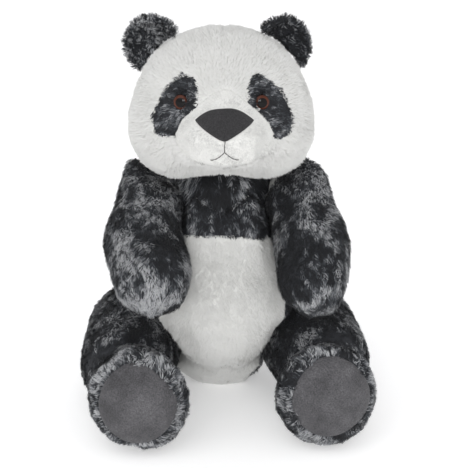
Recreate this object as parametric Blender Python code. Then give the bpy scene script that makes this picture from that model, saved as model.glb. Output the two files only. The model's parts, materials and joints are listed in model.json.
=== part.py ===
"""A seated plush panda as it is sewn: fur skins cut in panels, fibre filling, a pellet pouch in
the seat, safety eyes locked by washers, a velour nose and soles, and stitched seams.

The row frame is in metres: +Z is up, the face looks along -Y, and the origin is the middle of
the footprint on the surface it sits on. Shapes are written about the body's own middle plane,
which MIDDLE places in the row frame, because the legs lie unevenly to either side of it."""

import math

import bmesh
import bpy
import numpy as np
from mathutils import Matrix, Vector

MIDDLE = Vector((-0.0040, 0.0053, 0.0))  # the body's middle plane and depth in the row frame
SKIN = 0.0025  # plush cloth with half of its pile
GAP = 0.0003  # between pieces that touch
HALF_SEAM = GAP / 2
CLEAR = 0.0040  # between pieces that move past each other
HEAD_CLEAR = 0.0030  # between the head and the chest
LEG_CLEAR = 0.0032  # between the legs and the torso
CHEEK_CLEAR = 0.0022  # between the cheeks and the arms that they rest on
SOFTNESS = 0.012  # how widely two rounded masses blend into each other
INSTEP_SOFTNESS = 0.005  # and the thigh into the foot, which keeps a fold

HEAD_CENTRE = (0.0, -0.006, 0.260)
FACE_X = 0.0024  # the muzzle, nose and mouth are sewn on a little to one side
NECK = (0.0, 0.006, 0.199)
NECK_RADIUS = 0.034
NECK_SKIN_RISE = 0.0080  # how far the neck's plush reaches past its pivot, into the head
NECK_ROOT_Z = 0.162
MUZZLE_Z = (0.2370, 0.2920)
MUZZLE_HALF_WIDTH = 0.0340
MUZZLE_NARROWING = 0.50
NOSE_HALF_WIDTH = 0.0215
NOSE_Z = (0.2608, 0.2715, 0.2808)  # lower point, corners, crown
NOSE_THICKNESS = 0.0026
MOUTH_Z = (0.2455, 0.2530, 0.2602)  # ends, fork, top
MOUTH_HALF_WIDTH = 0.0100
THREAD = 0.0009  # half the width of the embroidered line

EYE_X = 0.0303
EYE_Z = 0.2800
EYE_RADIUS = 0.0064
EYE_LEAN = (0.20, -0.975, 0.06)  # outward direction of the +X eye
PATCH_CENTRES = {-1: (-0.0345, 0.2748), 1: (0.0364, 0.2748)}
PATCH_SIZE = (0.0128, 0.0266)
PATCH_TILT = math.radians(-32)

EARS = {"right": (-0.0550, 0.006, 0.3095), "left": (0.0490, 0.006, 0.3085)}
EAR_RADIUS = 0.0230
EAR_CUP = 0.0080
EAR_CLOTH = 0.0032
EAR_YAW = math.radians(14)

TORSO_CENTRE = (0.0, 0.004, 0.1050)
TORSO_MESH = (20, 14)  # segments and rings
FACE_MESH = (40, 26)  # for the pieces sewn onto the face
BELLY_HALF_WIDTH = 0.0525
BELLY_DEPTH = (-0.2, 0.0150)  # it wraps under as far as the seat
BELLY_Z = (-0.0300, 0.1650)  # from below the seat, so that it wraps under
POUCH_TOP = 0.0360

ARM_MESH = (14, 12)
LEG_MESH = (16, 12)
SHOULDER_HOLE = 0.0150
HIP_HOLE = 0.0200
TAIL_CENTRE = (0.0, 0.0950, 0.0480)
TAIL_RADII = (0.0180, 0.0150, 0.0140)
TAIL_HOLE = 0.0080
TAIL_MESH = (14, 8)
SOLE_RADII = (0.0305, 0.0335)
CLOSING_Z = (0.0900, 0.1500)

# Each limb's own pose: the toy was sat down by hand, so its two sides differ a little.
ARMS = {
    "right": {
        "cap": ((-0.0615, -0.0060, 0.2130), 0.0180),
        "shoulder": ((-0.0570, -0.0020, 0.1940), 0.0255),
        "elbow": ((-0.0640, -0.0420, 0.1610), 0.0280),
        "paw": ((-0.0540, -0.0740, 0.1440), 0.0325),
    },
    "left": {
        "cap": ((0.0612, -0.0060, 0.2130), 0.0165),
        "shoulder": ((0.0600, -0.0020, 0.1940), 0.0255),
        "elbow": ((0.0725, -0.0420, 0.1600), 0.0270),
        "paw": ((0.0730, -0.0740, 0.1390), 0.0285),
    },
}
ARM_LIFT = 20  # degrees that the paw rises, about the shoulder
HEAD_TURN = 12  # degrees either way about +Z
HEAD_NOD = (-8, 3)  # degrees about +X: up, down
LEGS = {
    "right": {
        "hip": ((-0.0740, 0.0100, 0.0560), 0.0425),
        "knee": ((-0.0790, -0.0430, 0.0500), 0.0388),
        "foot": ((-0.0650, -0.0940, 0.0460), (0.0415, 0.0270, 0.0475)),
        "yaw": -5,
        "sole_rise": 0.0040,
        "sole_lean": 6,
        "splay": (-15, 1),
    },
    "left": {
        "hip": ((0.0720, 0.0100, 0.0560), 0.0440),
        "knee": ((0.0845, -0.0350, 0.0490), 0.0400),
        "foot": ((0.0840, -0.0860, 0.0460), (0.0410, 0.0270, 0.0475)),
        "yaw": 10,
        "sole_rise": 0.0060,
        "sole_lean": -14,
        "splay": (-1, 15),
    },
}


# ---------------------------------------------------------------- distance to a rounded mass


def ellipsoid(points, centre, radii):
    scaled = (points - np.array(centre)) / np.array(radii)
    near = np.linalg.norm(scaled, axis=1)
    slope = np.linalg.norm(scaled / np.array(radii), axis=1)
    return near * (near - 1.0) / np.maximum(slope, 1e-9)


def taper(points, start, start_radius, end, end_radius):
    """A sausage whose radius runs from one ball's to the other's."""
    a = np.array(start)
    along = np.array(end) - a
    share = np.clip((points - a) @ along / (along @ along), 0.0, 1.0)
    radius = start_radius + (end_radius - start_radius) * share
    return np.linalg.norm(points - a - share[:, None] * along, axis=1) - radius


def melt(distances, softness=SOFTNESS):
    """The masses joined, with their creases rounded over."""
    joined = distances[0]
    for other in distances[1:]:
        overlap = np.maximum(softness - np.abs(joined - other), 0.0) / softness
        joined = np.minimum(joined, other) - overlap**2 * softness / 4.0
    return joined


def turned(points, pivot, axis, degrees):
    """The points as a piece sees them after it has turned by that angle about the pivot."""
    back = np.array(Matrix.Rotation(math.radians(-degrees), 3, axis))
    return (points - np.array(pivot)) @ back.T + np.array(pivot)


def head_mass(points):
    masses = [ellipsoid(points, (0.0, -0.002, 0.2665), (0.0680, 0.0600, 0.0590))]
    for side in (-1, 1):
        masses.append(ellipsoid(points, (side * 0.0360, -0.010, 0.2465), (0.0385, 0.0450, 0.0390)))
    masses.append(ellipsoid(points, (FACE_X, -0.060, 0.2550), (0.0360, 0.0370, 0.0255)))
    masses.append(ellipsoid(points, (FACE_X, -0.058, 0.2780), (0.0180, 0.0200, 0.0140)))
    return melt(masses)


def arm_mass(points, side):
    arm = ARMS[side]
    top = taper(points, *arm["cap"], *arm["shoulder"])
    upper = taper(points, *arm["shoulder"], *arm["elbow"])
    lower = taper(points, *arm["elbow"], *arm["paw"])
    return melt([top, upper, lower])


def arm_shape(points, side):
    """The arm, hollowed where the cheeks and the neck pass as the head turns and the arm lifts."""
    shoulder = ARMS[side]["shoulder"][0]
    neck_root = (NECK[0], NECK[1], NECK_ROOT_Z)
    rooms = []
    for lift in (0.0, ARM_LIFT / 2, ARM_LIFT):
        lifted = turned(points, shoulder, "X", lift)
        rooms.append(head_sweep(lifted))
        rooms.append(taper(lifted, NECK, NECK_RADIUS, neck_root, NECK_RADIUS))
    return np.maximum(arm_mass(points, side), CHEEK_CLEAR - np.minimum.reduce(rooms))


def leg_mass(points, side):
    leg = LEGS[side]
    thigh = taper(points, *leg["hip"], *leg["knee"])
    foot = ellipsoid(points, *leg["foot"])
    return melt([thigh, foot], INSTEP_SOFTNESS)


def limb_sweep(points):
    """How far each point is from where the arms and legs pass as they move, less their room."""
    found = []
    for side in ("right", "left"):
        shoulder, hip = ARMS[side]["shoulder"][0], LEGS[side]["hip"][0]
        for lift in np.linspace(0.0, ARM_LIFT, 5):
            found.append(arm_mass(turned(points, shoulder, "X", -lift), side) - CLEAR)
        for splay in np.linspace(*LEGS[side]["splay"], 4):
            found.append(leg_mass(turned(points, hip, "Z", splay), side) - LEG_CLEAR)
    return np.minimum.reduce(found)


def head_sweep(points):
    """The space that the head's underside passes through as it nods and turns."""
    found = []
    for nod in HEAD_NOD:
        for turn in (-HEAD_TURN, 0, HEAD_TURN):
            nodded = turned(points, NECK, "Z", turn)
            found.append(head_mass(turned(nodded, NECK, "X", nod)))
    return np.minimum.reduce(found)


def torso_mass(points):
    masses = [
        ellipsoid(points, (0.0, 0.0320, 0.0480), (0.0580, 0.0540, 0.0520)),
        ellipsoid(points, (0.0, 0.0040, 0.0960), (0.0680, 0.0680, 0.0640)),
        ellipsoid(points, (0.0, 0.0100, 0.1500), (0.0640, 0.0540, 0.0520)),
    ]
    for side in (-1, 1):
        masses.append(ellipsoid(points, (side * 0.0360, 0.0030, 0.1690), (0.0380, 0.0440, 0.0400)))
    moving = np.minimum(limb_sweep(points), head_sweep(points) - HEAD_CLEAR)
    return np.maximum(melt(masses), -moving)


def tail_mass(points):
    return ellipsoid(points, TAIL_CENTRE, TAIL_RADII)


# ---------------------------------------------------------------- meshes


def new_object(name, mesh):
    mesh.shade_smooth()
    mesh.set_sharp_from_angle(angle=math.radians(50))
    made = bpy.data.objects.new(name, mesh)
    bpy.context.scene.collection.objects.link(made)
    return made


def rounded(name, mass, centre, offset=0.0, segments=20, rings=12, pole="Z"):
    """A closed skin of points found outward from the centre, where the mass ends."""
    bm = bmesh.new()
    bmesh.ops.create_uvsphere(bm, u_segments=segments, v_segments=rings, radius=1.0)
    # Split while still a sphere, so that skins of different offset share their diagonals and nest.
    bmesh.ops.triangulate(bm, faces=bm.faces)
    if pole == "Y":
        bmesh.ops.rotate(bm, verts=bm.verts, matrix=Matrix.Rotation(math.pi / 2, 3, "X"))
    rays = np.array([vertex.co.normalized()[:] for vertex in bm.verts])
    origin = np.array(centre)
    inside = np.zeros(len(rays))
    outside = np.full(len(rays), np.nan)
    for reach in np.arange(0.002, 0.180, 0.001):
        found = mass(origin + rays * reach) - offset > 0.0
        outside = np.where(np.isnan(outside) & found, reach, outside)
        inside = np.where(np.isnan(outside), reach, inside)
    for _ in range(14):
        middle = (inside + outside) / 2.0
        beyond = mass(origin + rays * middle[:, None]) - offset > 0.0
        outside = np.where(beyond, middle, outside)
        inside = np.where(beyond, inside, middle)
    for vertex, ray, reach in zip(bm.verts, rays, inside):
        vertex.co = Vector(origin + ray * reach) + MIDDLE
    mesh = bpy.data.meshes.new(name)
    bm.to_mesh(mesh)
    bm.free()
    return new_object(name, mesh)


def prism(name, outline, low, high, place=None):
    """The outline, points (x, z), made solid from y = low to y = high, then placed."""
    bm = bmesh.new()
    rows = [[bm.verts.new((x, y, z)) for x, z in outline] for y in (low, high)]
    bm.faces.new(rows[0])
    bm.faces.new(list(reversed(rows[1])))
    count = len(outline)
    for i in range(count):
        j = (i + 1) % count
        bm.faces.new((rows[0][i], rows[1][i], rows[1][j], rows[0][j]))
    bmesh.ops.recalc_face_normals(bm, faces=bm.faces)
    bmesh.ops.transform(bm, verts=bm.verts, matrix=place or Matrix.Identity(4))
    bmesh.ops.translate(bm, verts=bm.verts, vec=MIDDLE)
    mesh = bpy.data.meshes.new(name)
    bm.to_mesh(mesh)
    bm.free()
    return new_object(name, mesh)


def oval(half_width, half_height, centre=(0.0, 0.0), tilt=0.0, grow=0.0, count=22, power=1.0):
    """An oval's points, or with power under 1 a squarer one."""
    points = []
    for i in range(count):
        angle = 2.0 * math.pi * i / count
        c, s = math.cos(angle), math.sin(angle)
        x = math.copysign(abs(c) ** power, c) * (half_width + grow)
        z = math.copysign(abs(s) ** power, s) * (half_height + grow)
        points.append(
            (
                centre[0] + x * math.cos(tilt) - z * math.sin(tilt),
                centre[1] + x * math.sin(tilt) + z * math.cos(tilt),
            )
        )
    return points


def rod(name, start, end, radius, sides=16, hole=0.0):
    """A cylinder between two points, or a ring with a hole through it."""
    a, b = Vector(start), Vector(end)
    outline = oval(radius, radius, count=sides)
    place = Matrix.Translation(a) @ (b - a).to_track_quat("Y", "Z").to_matrix().to_4x4()
    made = prism(name, outline, 0.0, (b - a).length, place)
    if hole:
        bore = rod(name + "_bore", a - (b - a), b + (b - a), hole, sides)
        take_away(made, bore)
    return made


def ball(name, centre, radius, segments=16, rings=10):
    return rounded(
        name, lambda p: ellipsoid(p, centre, (radius,) * 3), centre, 0.0, segments, rings
    )


def block(name, low, high):
    outline = [(low[0], low[2]), (high[0], low[2]), (high[0], high[2]), (low[0], high[2])]
    return prism(name, outline, low[1], high[1])


def half_space(name, side):
    """Everything on one side of the body's middle plane, less half a seam."""
    reach = 0.3
    near, far = sorted((side * HALF_SEAM, side * reach))
    return block(name, (near, -reach, -reach), (far, reach, 2 * reach))


# ---------------------------------------------------------------- joining and cutting


def boolean(made, other, operation):
    """The manifold solver, because the exact one loses these thin curved skins part way."""
    other.hide_render = True
    other.display_type = "WIRE"
    step = made.modifiers.new(operation.lower(), "BOOLEAN")
    step.operation = operation
    step.solver = "MANIFOLD"
    step.object = other


def take_away(made, *cutters):
    for cutter in cutters:
        boolean(made, cutter, "DIFFERENCE")


def keep_within(made, *cutters):
    for cutter in cutters:
        boolean(made, cutter, "INTERSECT")


# ---------------------------------------------------------------- materials


def material(name, colour, roughness, metallic=0.0):
    made = bpy.data.materials.new(name)
    made.use_nodes = True
    shader = made.node_tree.nodes["Principled BSDF"]
    shader.inputs["Base Color"].default_value = (*colour, 1.0)
    shader.inputs["Roughness"].default_value = roughness
    shader.inputs["Metallic"].default_value = metallic
    return made


def finish(made, surface):
    made.data.materials.clear()
    made.data.materials.append(surface)


def make_materials():
    return {
        "dark_plush": material("dark_plush", (0.045, 0.050, 0.060), 0.9),
        "white_plush": material("white_plush", (0.80, 0.81, 0.80), 0.9),
        "velour": material("velour", (0.095, 0.088, 0.095), 0.8),
        "thread": material("thread", (0.012, 0.010, 0.010), 0.6),
        "fibre": material("fibre", (0.86, 0.86, 0.84), 1.0),
        "pouch_cloth": material("pouch_cloth", (0.55, 0.52, 0.46), 0.9),
        "eye_black": material("eye_black", (0.010, 0.007, 0.006), 0.05),
        "eye_brown": material("eye_brown", (0.14, 0.035, 0.012), 0.25),
        "washer_plastic": material("washer_plastic", (0.75, 0.75, 0.72), 0.45),
    }


# ---------------------------------------------------------------- head


def muzzle_outline(grow=0.0):
    """An egg, wide below and narrow at the bridge between the eyes."""
    low, high = MUZZLE_Z
    points = []
    for i in range(24):
        angle = 2.0 * math.pi * i / 24
        height = math.cos(angle)
        width = MUZZLE_HALF_WIDTH * (1.0 - MUZZLE_NARROWING * height) + grow
        middle = (low + high) / 2.0
        x = FACE_X + math.sin(angle) * width
        points.append((x, middle + height * ((high - low) / 2.0 + grow)))
    return points


def patch_outline(side, grow=0.0):
    return oval(*PATCH_SIZE, PATCH_CENTRES[side], -side * PATCH_TILT, grow)


def eye_frame(side):
    """A point on the face where the eye sits, and the way it looks."""
    lean = Vector((side * EYE_LEAN[0], EYE_LEAN[1], EYE_LEAN[2])).normalized()
    depths = np.arange(-0.12, 0.0, 0.0002)
    line = np.array([(side * EYE_X, y, EYE_Z) for y in depths])
    skin_y = depths[np.argmax(head_mass(line) < 0.0)]
    return Vector((side * EYE_X, skin_y, EYE_Z)), lean


def make_eye(word, side, paint, patch, filling):
    """The moulded eye: its domed front, the brown ring behind it, the stem, and its washer."""
    spot, lean = eye_frame(side)
    lens = rounded(
        word + "_eye_lens",
        lambda p: ellipsoid(p, (0.0, 0.0, 0.0), (EYE_RADIUS, EYE_RADIUS, EYE_RADIUS)),
        (0.0, 0.0, 0.0),
        0.0,
        18,
        10,
    )
    lens.data.transform(Matrix.Translation(-MIDDLE))
    lens.data.transform(Matrix.Translation(spot + MIDDLE + lean * 0.0006))
    finish(lens, paint["eye_black"])
    seat = rod(word + "_eye_seat", spot - lean * 0.03, spot + lean * 0.0010, 2 * EYE_RADIUS)
    take_away(lens, seat)
    iris = rod(
        word + "_eye_iris", spot - lean * 0.0006, spot + lean * 0.0007, EYE_RADIUS * 0.97, 24
    )
    finish(iris, paint["eye_brown"])
    stem_end = spot - lean * 0.0120
    stem = rod(word + "_eye_shank", stem_end, spot - lean * 0.0009, 0.0020, 16)
    finish(stem, paint["eye_black"])
    washer = rod(
        word + "_eye_washer", spot - lean * 0.0088, spot - lean * 0.0076, 0.0072, 16, 0.0023
    )
    finish(washer, paint["washer_plastic"])
    dent = rod(word + "_eye_dent", spot - lean * 0.0010, spot + lean * 0.02, EYE_RADIUS + GAP, 24)
    hole = rod(word + "_eye_hole", spot - lean * 0.02, spot + lean * 0.01, 0.0023, 16)
    pocket = rod(word + "_eye_pocket", spot - lean * 0.0130, spot + lean * 0.01, 0.0080, 20)
    take_away(patch, dent, hole)
    take_away(filling, pocket)


def ear_bowl(name, centre, side, radius, front, back):
    """A round cloth bowl that opens forward, its faces at those depths behind the cup's face."""
    bm = bmesh.new()
    segments, rings = 20, 3
    turn = Matrix.Rotation(side * EAR_YAW, 3, "Z")

    def point(ring, segment, depth):
        share = ring / rings
        angle = 2.0 * math.pi * segment / segments
        x = radius * share * math.cos(angle)
        z = radius * share * math.sin(angle)
        y = depth - EAR_CUP * share**2 + EAR_CUP / 2.0
        return turn @ Vector((x, y, z)) + Vector(centre) + MIDDLE

    sheets = []
    for depth in (front, back):
        middle = bm.verts.new(point(0, 0, depth))
        sheet = [[bm.verts.new(point(r, s, depth)) for s in range(segments)] for r in range(1, rings + 1)]
        for s in range(segments):
            t = (s + 1) % segments
            bm.faces.new((middle, sheet[0][s], sheet[0][t]))
            for inner, outer in zip(sheet, sheet[1:]):
                bm.faces.new((inner[s], outer[s], outer[t], inner[t]))
        sheets.append(sheet)
    for s in range(segments):
        t = (s + 1) % segments
        bm.faces.new((sheets[0][-1][s], sheets[1][-1][s], sheets[1][-1][t], sheets[0][-1][t]))
    bmesh.ops.recalc_face_normals(bm, faces=bm.faces)
    mesh = bpy.data.meshes.new(name)
    bm.to_mesh(mesh)
    bm.free()
    return new_object(name, mesh)


def make_ear(word, side, paint):
    centre = EARS[word]
    lining = ear_bowl(word + "_ear_front", centre, side, EAR_RADIUS - 0.0010, 0.0, EAR_CLOTH)
    back = ear_bowl(
        word + "_ear_back", centre, side, EAR_RADIUS, EAR_CLOTH + GAP, 2 * EAR_CLOTH + GAP
    )
    for piece in (lining, back):
        room = rounded(piece.name + "_room", head_mass, HEAD_CENTRE, CLEAR)
        take_away(piece, room)
        finish(piece, paint["dark_plush"])


def head_shell(name):
    shell = rounded(name, head_mass, HEAD_CENTRE)
    take_away(shell, rounded(name + "_hollow", head_mass, HEAD_CENTRE, -SKIN))
    return shell


def neck_hole(name, low, high, radius):
    return rod(name, (NECK[0], NECK[1], low), (NECK[0], NECK[1], high), radius, 24)


def make_head(paint):
    filling = rounded("head_stuffing", head_mass, HEAD_CENTRE, -SKIN - GAP)
    take_away(filling, ball("head_socket", NECK, NECK_RADIUS + 3 * GAP))
    finish(filling, paint["fibre"])
    for word, side in (("right", -1), ("left", 1)):
        panel = head_shell("head_panel_" + word)
        keep_within(panel, half_space(panel.name + "_half", side))
        take_away(
            panel,
            prism(panel.name + "_muzzle_cut", muzzle_outline(HALF_SEAM), -0.2, -0.03),
            prism(panel.name + "_patch_cut", patch_outline(side, HALF_SEAM), -0.2, -0.02),
            neck_hole(panel.name + "_neck", 0.18, 0.24, NECK_RADIUS + 0.002),
        )
        finish(panel, paint["white_plush"])
        patch = head_shell(word + "_eye_patch")
        keep_within(patch, prism(patch.name + "_cut", patch_outline(side, -HALF_SEAM), -0.2, -0.02))
        take_away(
            patch, prism(patch.name + "_muzzle_cut", muzzle_outline(HALF_SEAM), -0.2, -0.03)
        )
        finish(patch, paint["dark_plush"])
        make_eye(word, side, paint, patch, filling)
        make_ear(word, side, paint)
    muzzle = head_shell("muzzle_skin")
    keep_within(muzzle, prism("muzzle_cut", muzzle_outline(-HALF_SEAM), -0.2, -0.03))
    finish(muzzle, paint["white_plush"])
    make_nose(paint)
    make_mouth(paint)


def on_face(name, outline, thickness):
    """A piece of that outline lying on the face, one gap off it."""
    made = rounded(name, head_mass, HEAD_CENTRE, GAP + thickness, *FACE_MESH)
    take_away(made, rounded(name + "_face", head_mass, HEAD_CENTRE, GAP, *FACE_MESH))
    keep_within(made, prism(name + "_cut", outline, -0.2, -0.05))
    return made


def make_nose(paint):
    """A shield: an arched crown from corner to corner, and sides drawn down to a blunt point."""
    low, corner, crown = NOSE_Z
    steps = 14
    points = []
    for i in range(steps):
        x = math.cos(math.pi * i / steps)
        points.append((FACE_X + NOSE_HALF_WIDTH * x, corner + (crown - corner) * (1.0 - x * x)))
    for i in range(steps):
        x = -math.cos(math.pi * i / steps)
        fall = (1.0 - abs(x)) ** 0.88
        points.append((FACE_X + NOSE_HALF_WIDTH * x, corner - (corner - low) * fall))
    finish(on_face("nose_patch", points, NOSE_THICKNESS), paint["velour"])


def make_mouth(paint):
    """An upright stitch that forks into two shallow curves."""
    low, fork, top = MOUTH_Z
    steps = 6

    def curve(side, shift):
        points = []
        for i in range(1, steps + 1):
            share = i / steps
            fall = (fork - low) * math.sin(share * math.pi / 2.0)
            points.append((FACE_X + side * MOUTH_HALF_WIDTH * share, fork - fall + shift))
        return points

    left, right = FACE_X - THREAD, FACE_X + THREAD
    outline = [(left, top), (left, fork + THREAD)]
    outline += curve(-1, THREAD)
    outline += list(reversed(curve(-1, -THREAD)))
    outline.append((FACE_X, fork - THREAD))
    outline += curve(1, -THREAD)
    outline += list(reversed(curve(1, THREAD)))
    outline += [(right, fork + THREAD), (right, top)]
    finish(on_face("mouth_stitch", outline, 0.0007), paint["thread"])


# ---------------------------------------------------------------- torso


def torso_rounded(name, offset=0.0):
    made = rounded(name, torso_mass, TORSO_CENTRE, offset, *TORSO_MESH)
    floor_room = block(name + "_floor", (-0.2, -0.2, -offset), (0.2, 0.2, 0.4))
    keep_within(made, floor_room)
    return made


def belly_outline(grow=0.0):
    low, high = BELLY_Z
    centre = (0.0, (low + high) / 2.0)
    return oval(BELLY_HALF_WIDTH, (high - low) / 2.0, centre, 0.0, grow, 28, 0.45)


def joint_holes(made):
    """The openings that the neck and limbs are sewn around."""
    take_away(made, neck_hole(made.name + "_neck", 0.15, 0.24, NECK_RADIUS + 0.002))
    for word, side in (("right", -1), ("left", 1)):
        shoulder = Vector(ARMS[word]["shoulder"][0])
        hip = Vector(LEGS[word]["hip"][0])
        inward = Vector((-side * 0.045, 0.0, 0.0))
        outward = Vector((side * 0.03, 0.0, 0.0))
        take_away(
            made,
            rod(f"{made.name}_{word}_armhole", shoulder + inward, shoulder + outward, SHOULDER_HOLE),
            rod(f"{made.name}_{word}_leghole", hip + inward, hip + outward, HIP_HOLE),
        )
    tail = Vector(TAIL_CENTRE)
    reach = Vector((0.0, 0.03, 0.0))
    take_away(made, rod(made.name + "_tailhole", tail - reach, tail + reach, TAIL_HOLE))


def make_torso(paint):
    for word, side in (("right", -1), ("left", 1)):
        panel = torso_rounded("torso_panel_" + word)
        take_away(panel, torso_rounded(panel.name + "_hollow", -SKIN))
        keep_within(panel, half_space(panel.name + "_half", side))
        take_away(panel, prism(panel.name + "_belly_cut", belly_outline(HALF_SEAM), *BELLY_DEPTH))
        joint_holes(panel)
        finish(panel, paint["dark_plush"])
    belly = torso_rounded("belly_panel")
    take_away(belly, torso_rounded("belly_hollow", -SKIN))
    keep_within(belly, prism("belly_cut", belly_outline(-HALF_SEAM), *BELLY_DEPTH))
    finish(belly, paint["white_plush"])

    filling = torso_rounded("torso_stuffing", -SKIN - GAP)
    take_away(
        filling,
        neck_hole("neck_room", NECK_ROOT_Z - GAP, 0.24, NECK_RADIUS + GAP),
        block("pouch_room", (-0.2, -0.2, -0.1), (0.2, 0.2, POUCH_TOP + GAP)),
    )
    finish(filling, paint["fibre"])
    pouch = torso_rounded("bean_pouch", -SKIN - GAP)
    keep_within(pouch, block("pouch_cut", (-0.2, -0.2, -0.1), (0.2, 0.2, POUCH_TOP)))
    finish(pouch, paint["pouch_cloth"])
    make_neck(paint)
    make_closing_stitch(paint)


def neck_plug(name, shrink, root):
    """A ball-ended plug, that far inside the neck's outer surface."""
    plug = neck_hole(name, root, NECK[2], NECK_RADIUS * 0.995 - shrink)
    boolean(plug, ball(name + "_top", NECK, NECK_RADIUS - shrink), "UNION")
    return plug


def make_neck(paint):
    """A plush band from the chest to the head, around a plug of firm fibre."""
    skin = neck_plug("neck_skin", 0.0, NECK_ROOT_Z)
    top = NECK[2] + NECK_SKIN_RISE
    take_away(
        skin,
        neck_plug("neck_hollow", SKIN, NECK_ROOT_Z - 0.01),
        block("neck_trim", (-0.1, -0.1, top), (0.1, 0.1, 0.3)),
    )
    finish(skin, paint["dark_plush"])
    finish(neck_plug("neck_stuffing", SKIN + GAP, NECK_ROOT_Z), paint["fibre"])


def make_closing_stitch(paint):
    """Thread drawn from side to side over the seam that the filling went in by."""
    low, high = CLOSING_Z
    turns = 9
    reach = 0.0030
    ridge = []
    for i in range(turns + 1):
        ridge.append(((reach if i % 2 else -reach), low + (high - low) * i / turns))
    outline = [(x - THREAD, z) for x, z in ridge] + [(x + THREAD, z) for x, z in reversed(ridge)]
    made = rounded("back_closing_stitch", torso_mass, TORSO_CENTRE, 0.0012, *TORSO_MESH)
    take_away(made, rounded("closing_back", torso_mass, TORSO_CENTRE, GAP, *TORSO_MESH))
    keep_within(made, prism("closing_cut", outline, 0.03, 0.2))
    finish(made, paint["thread"])


def make_tail(paint):
    skin = rounded("tail_skin", tail_mass, TAIL_CENTRE, 0.0, *TAIL_MESH)
    filling = rounded("tail_stuffing", tail_mass, TAIL_CENTRE, -SKIN - GAP, *TAIL_MESH)
    take_away(skin, rounded("tail_hollow", tail_mass, TAIL_CENTRE, -SKIN, *TAIL_MESH))
    tail = Vector(TAIL_CENTRE)
    take_away(skin, rod("tail_mouth", tail - Vector((0.0, 0.03, 0.0)), tail, TAIL_HOLE))
    for piece in (skin, filling):
        room = rounded(piece.name + "_room", torso_mass, TORSO_CENTRE, CLEAR, *TORSO_MESH)
        take_away(piece, room)
    finish(skin, paint["white_plush"])
    finish(filling, paint["fibre"])


# ---------------------------------------------------------------- limbs


def make_arm(word, side, paint):
    joints = ARMS[word]
    centre = (Vector(joints["shoulder"][0]) + Vector(joints["paw"][0])) / 2.0

    def mass(points):
        return arm_shape(points, word)

    skin = rounded(word + "_arm_skin", mass, centre, 0.0, *ARM_MESH)
    take_away(skin, rounded(word + "_arm_hollow", mass, centre, -SKIN, *ARM_MESH))
    shoulder = Vector(joints["shoulder"][0])
    inward = Vector((-side * 0.05, 0.0, 0.0))
    take_away(skin, rod(word + "_arm_mouth", shoulder + inward, shoulder, SHOULDER_HOLE))
    finish(skin, paint["dark_plush"])
    filling = rounded(word + "_arm_stuffing", mass, centre, -SKIN - GAP, *ARM_MESH)
    finish(filling, paint["fibre"])


def make_leg(word, side, paint):
    leg = LEGS[word]
    hip, foot = Vector(leg["hip"][0]), Vector(leg["foot"][0])
    centre = Vector((leg["knee"][0][0], -0.046, 0.047))

    def mass(points):
        return leg_mass(points, word)

    def on_floor(made, lift=0.0):
        keep_within(made, block(made.name + "_floor", (-0.3, -0.3, lift), (0.3, 0.3, 0.4)))
        return made

    def leg_rounded(name, offset):
        return on_floor(rounded(name, mass, centre, offset, *LEG_MESH, "Y"), -offset)

    def sole_cut(name, grow):
        middle = foot + Vector((0.0, 0.0, leg["sole_rise"]))
        place = Matrix.Translation(middle) @ Matrix.Rotation(math.radians(leg["yaw"]), 4, "Z")
        outline = oval(*SOLE_RADII, tilt=math.radians(leg["sole_lean"]), grow=grow)
        return prism(name, outline, -0.1, -0.008, place)

    skin = leg_rounded(word + "_leg_skin", 0.0)
    inward = Vector((-side * 0.06, 0.0, 0.0))
    take_away(
        skin,
        leg_rounded(word + "_leg_hollow", -SKIN),
        rod(word + "_leg_mouth", hip + inward, hip, HIP_HOLE),
        sole_cut(word + "_leg_sole_cut", HALF_SEAM),
    )
    finish(skin, paint["dark_plush"])
    sole = leg_rounded(word + "_sole", 0.0)
    take_away(sole, leg_rounded(word + "_sole_hollow", -SKIN))
    keep_within(sole, sole_cut(word + "_sole_outline", -HALF_SEAM))
    finish(sole, paint["velour"])
    filling = leg_rounded(word + "_leg_stuffing", -SKIN - GAP)
    finish(filling, paint["fibre"])


def main():
    for old in list(bpy.data.objects):
        bpy.data.objects.remove(old, do_unlink=True)
    paint = make_materials()
    make_head(paint)
    make_torso(paint)
    make_tail(paint)
    for word, side in (("right", -1), ("left", 1)):
        make_arm(word, side, paint)
        make_leg(word, side, paint)


main()
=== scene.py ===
"""The looks of the seated plush panda: each skin is swelled as stuffed cloth by simulation, split
into the sewn panels, and covered in pile made of real strands; the nose, soles, eyes and
stitches are built on top. Everything is in metres in the frame's own axes, facing -Y."""

import json
import math

import bmesh
import bpy
import numpy as np
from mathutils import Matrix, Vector
from mathutils.bvhtree import BVHTree
from mathutils.geometry import convex_hull_2d
from mathutils.kdtree import KDTree


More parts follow.
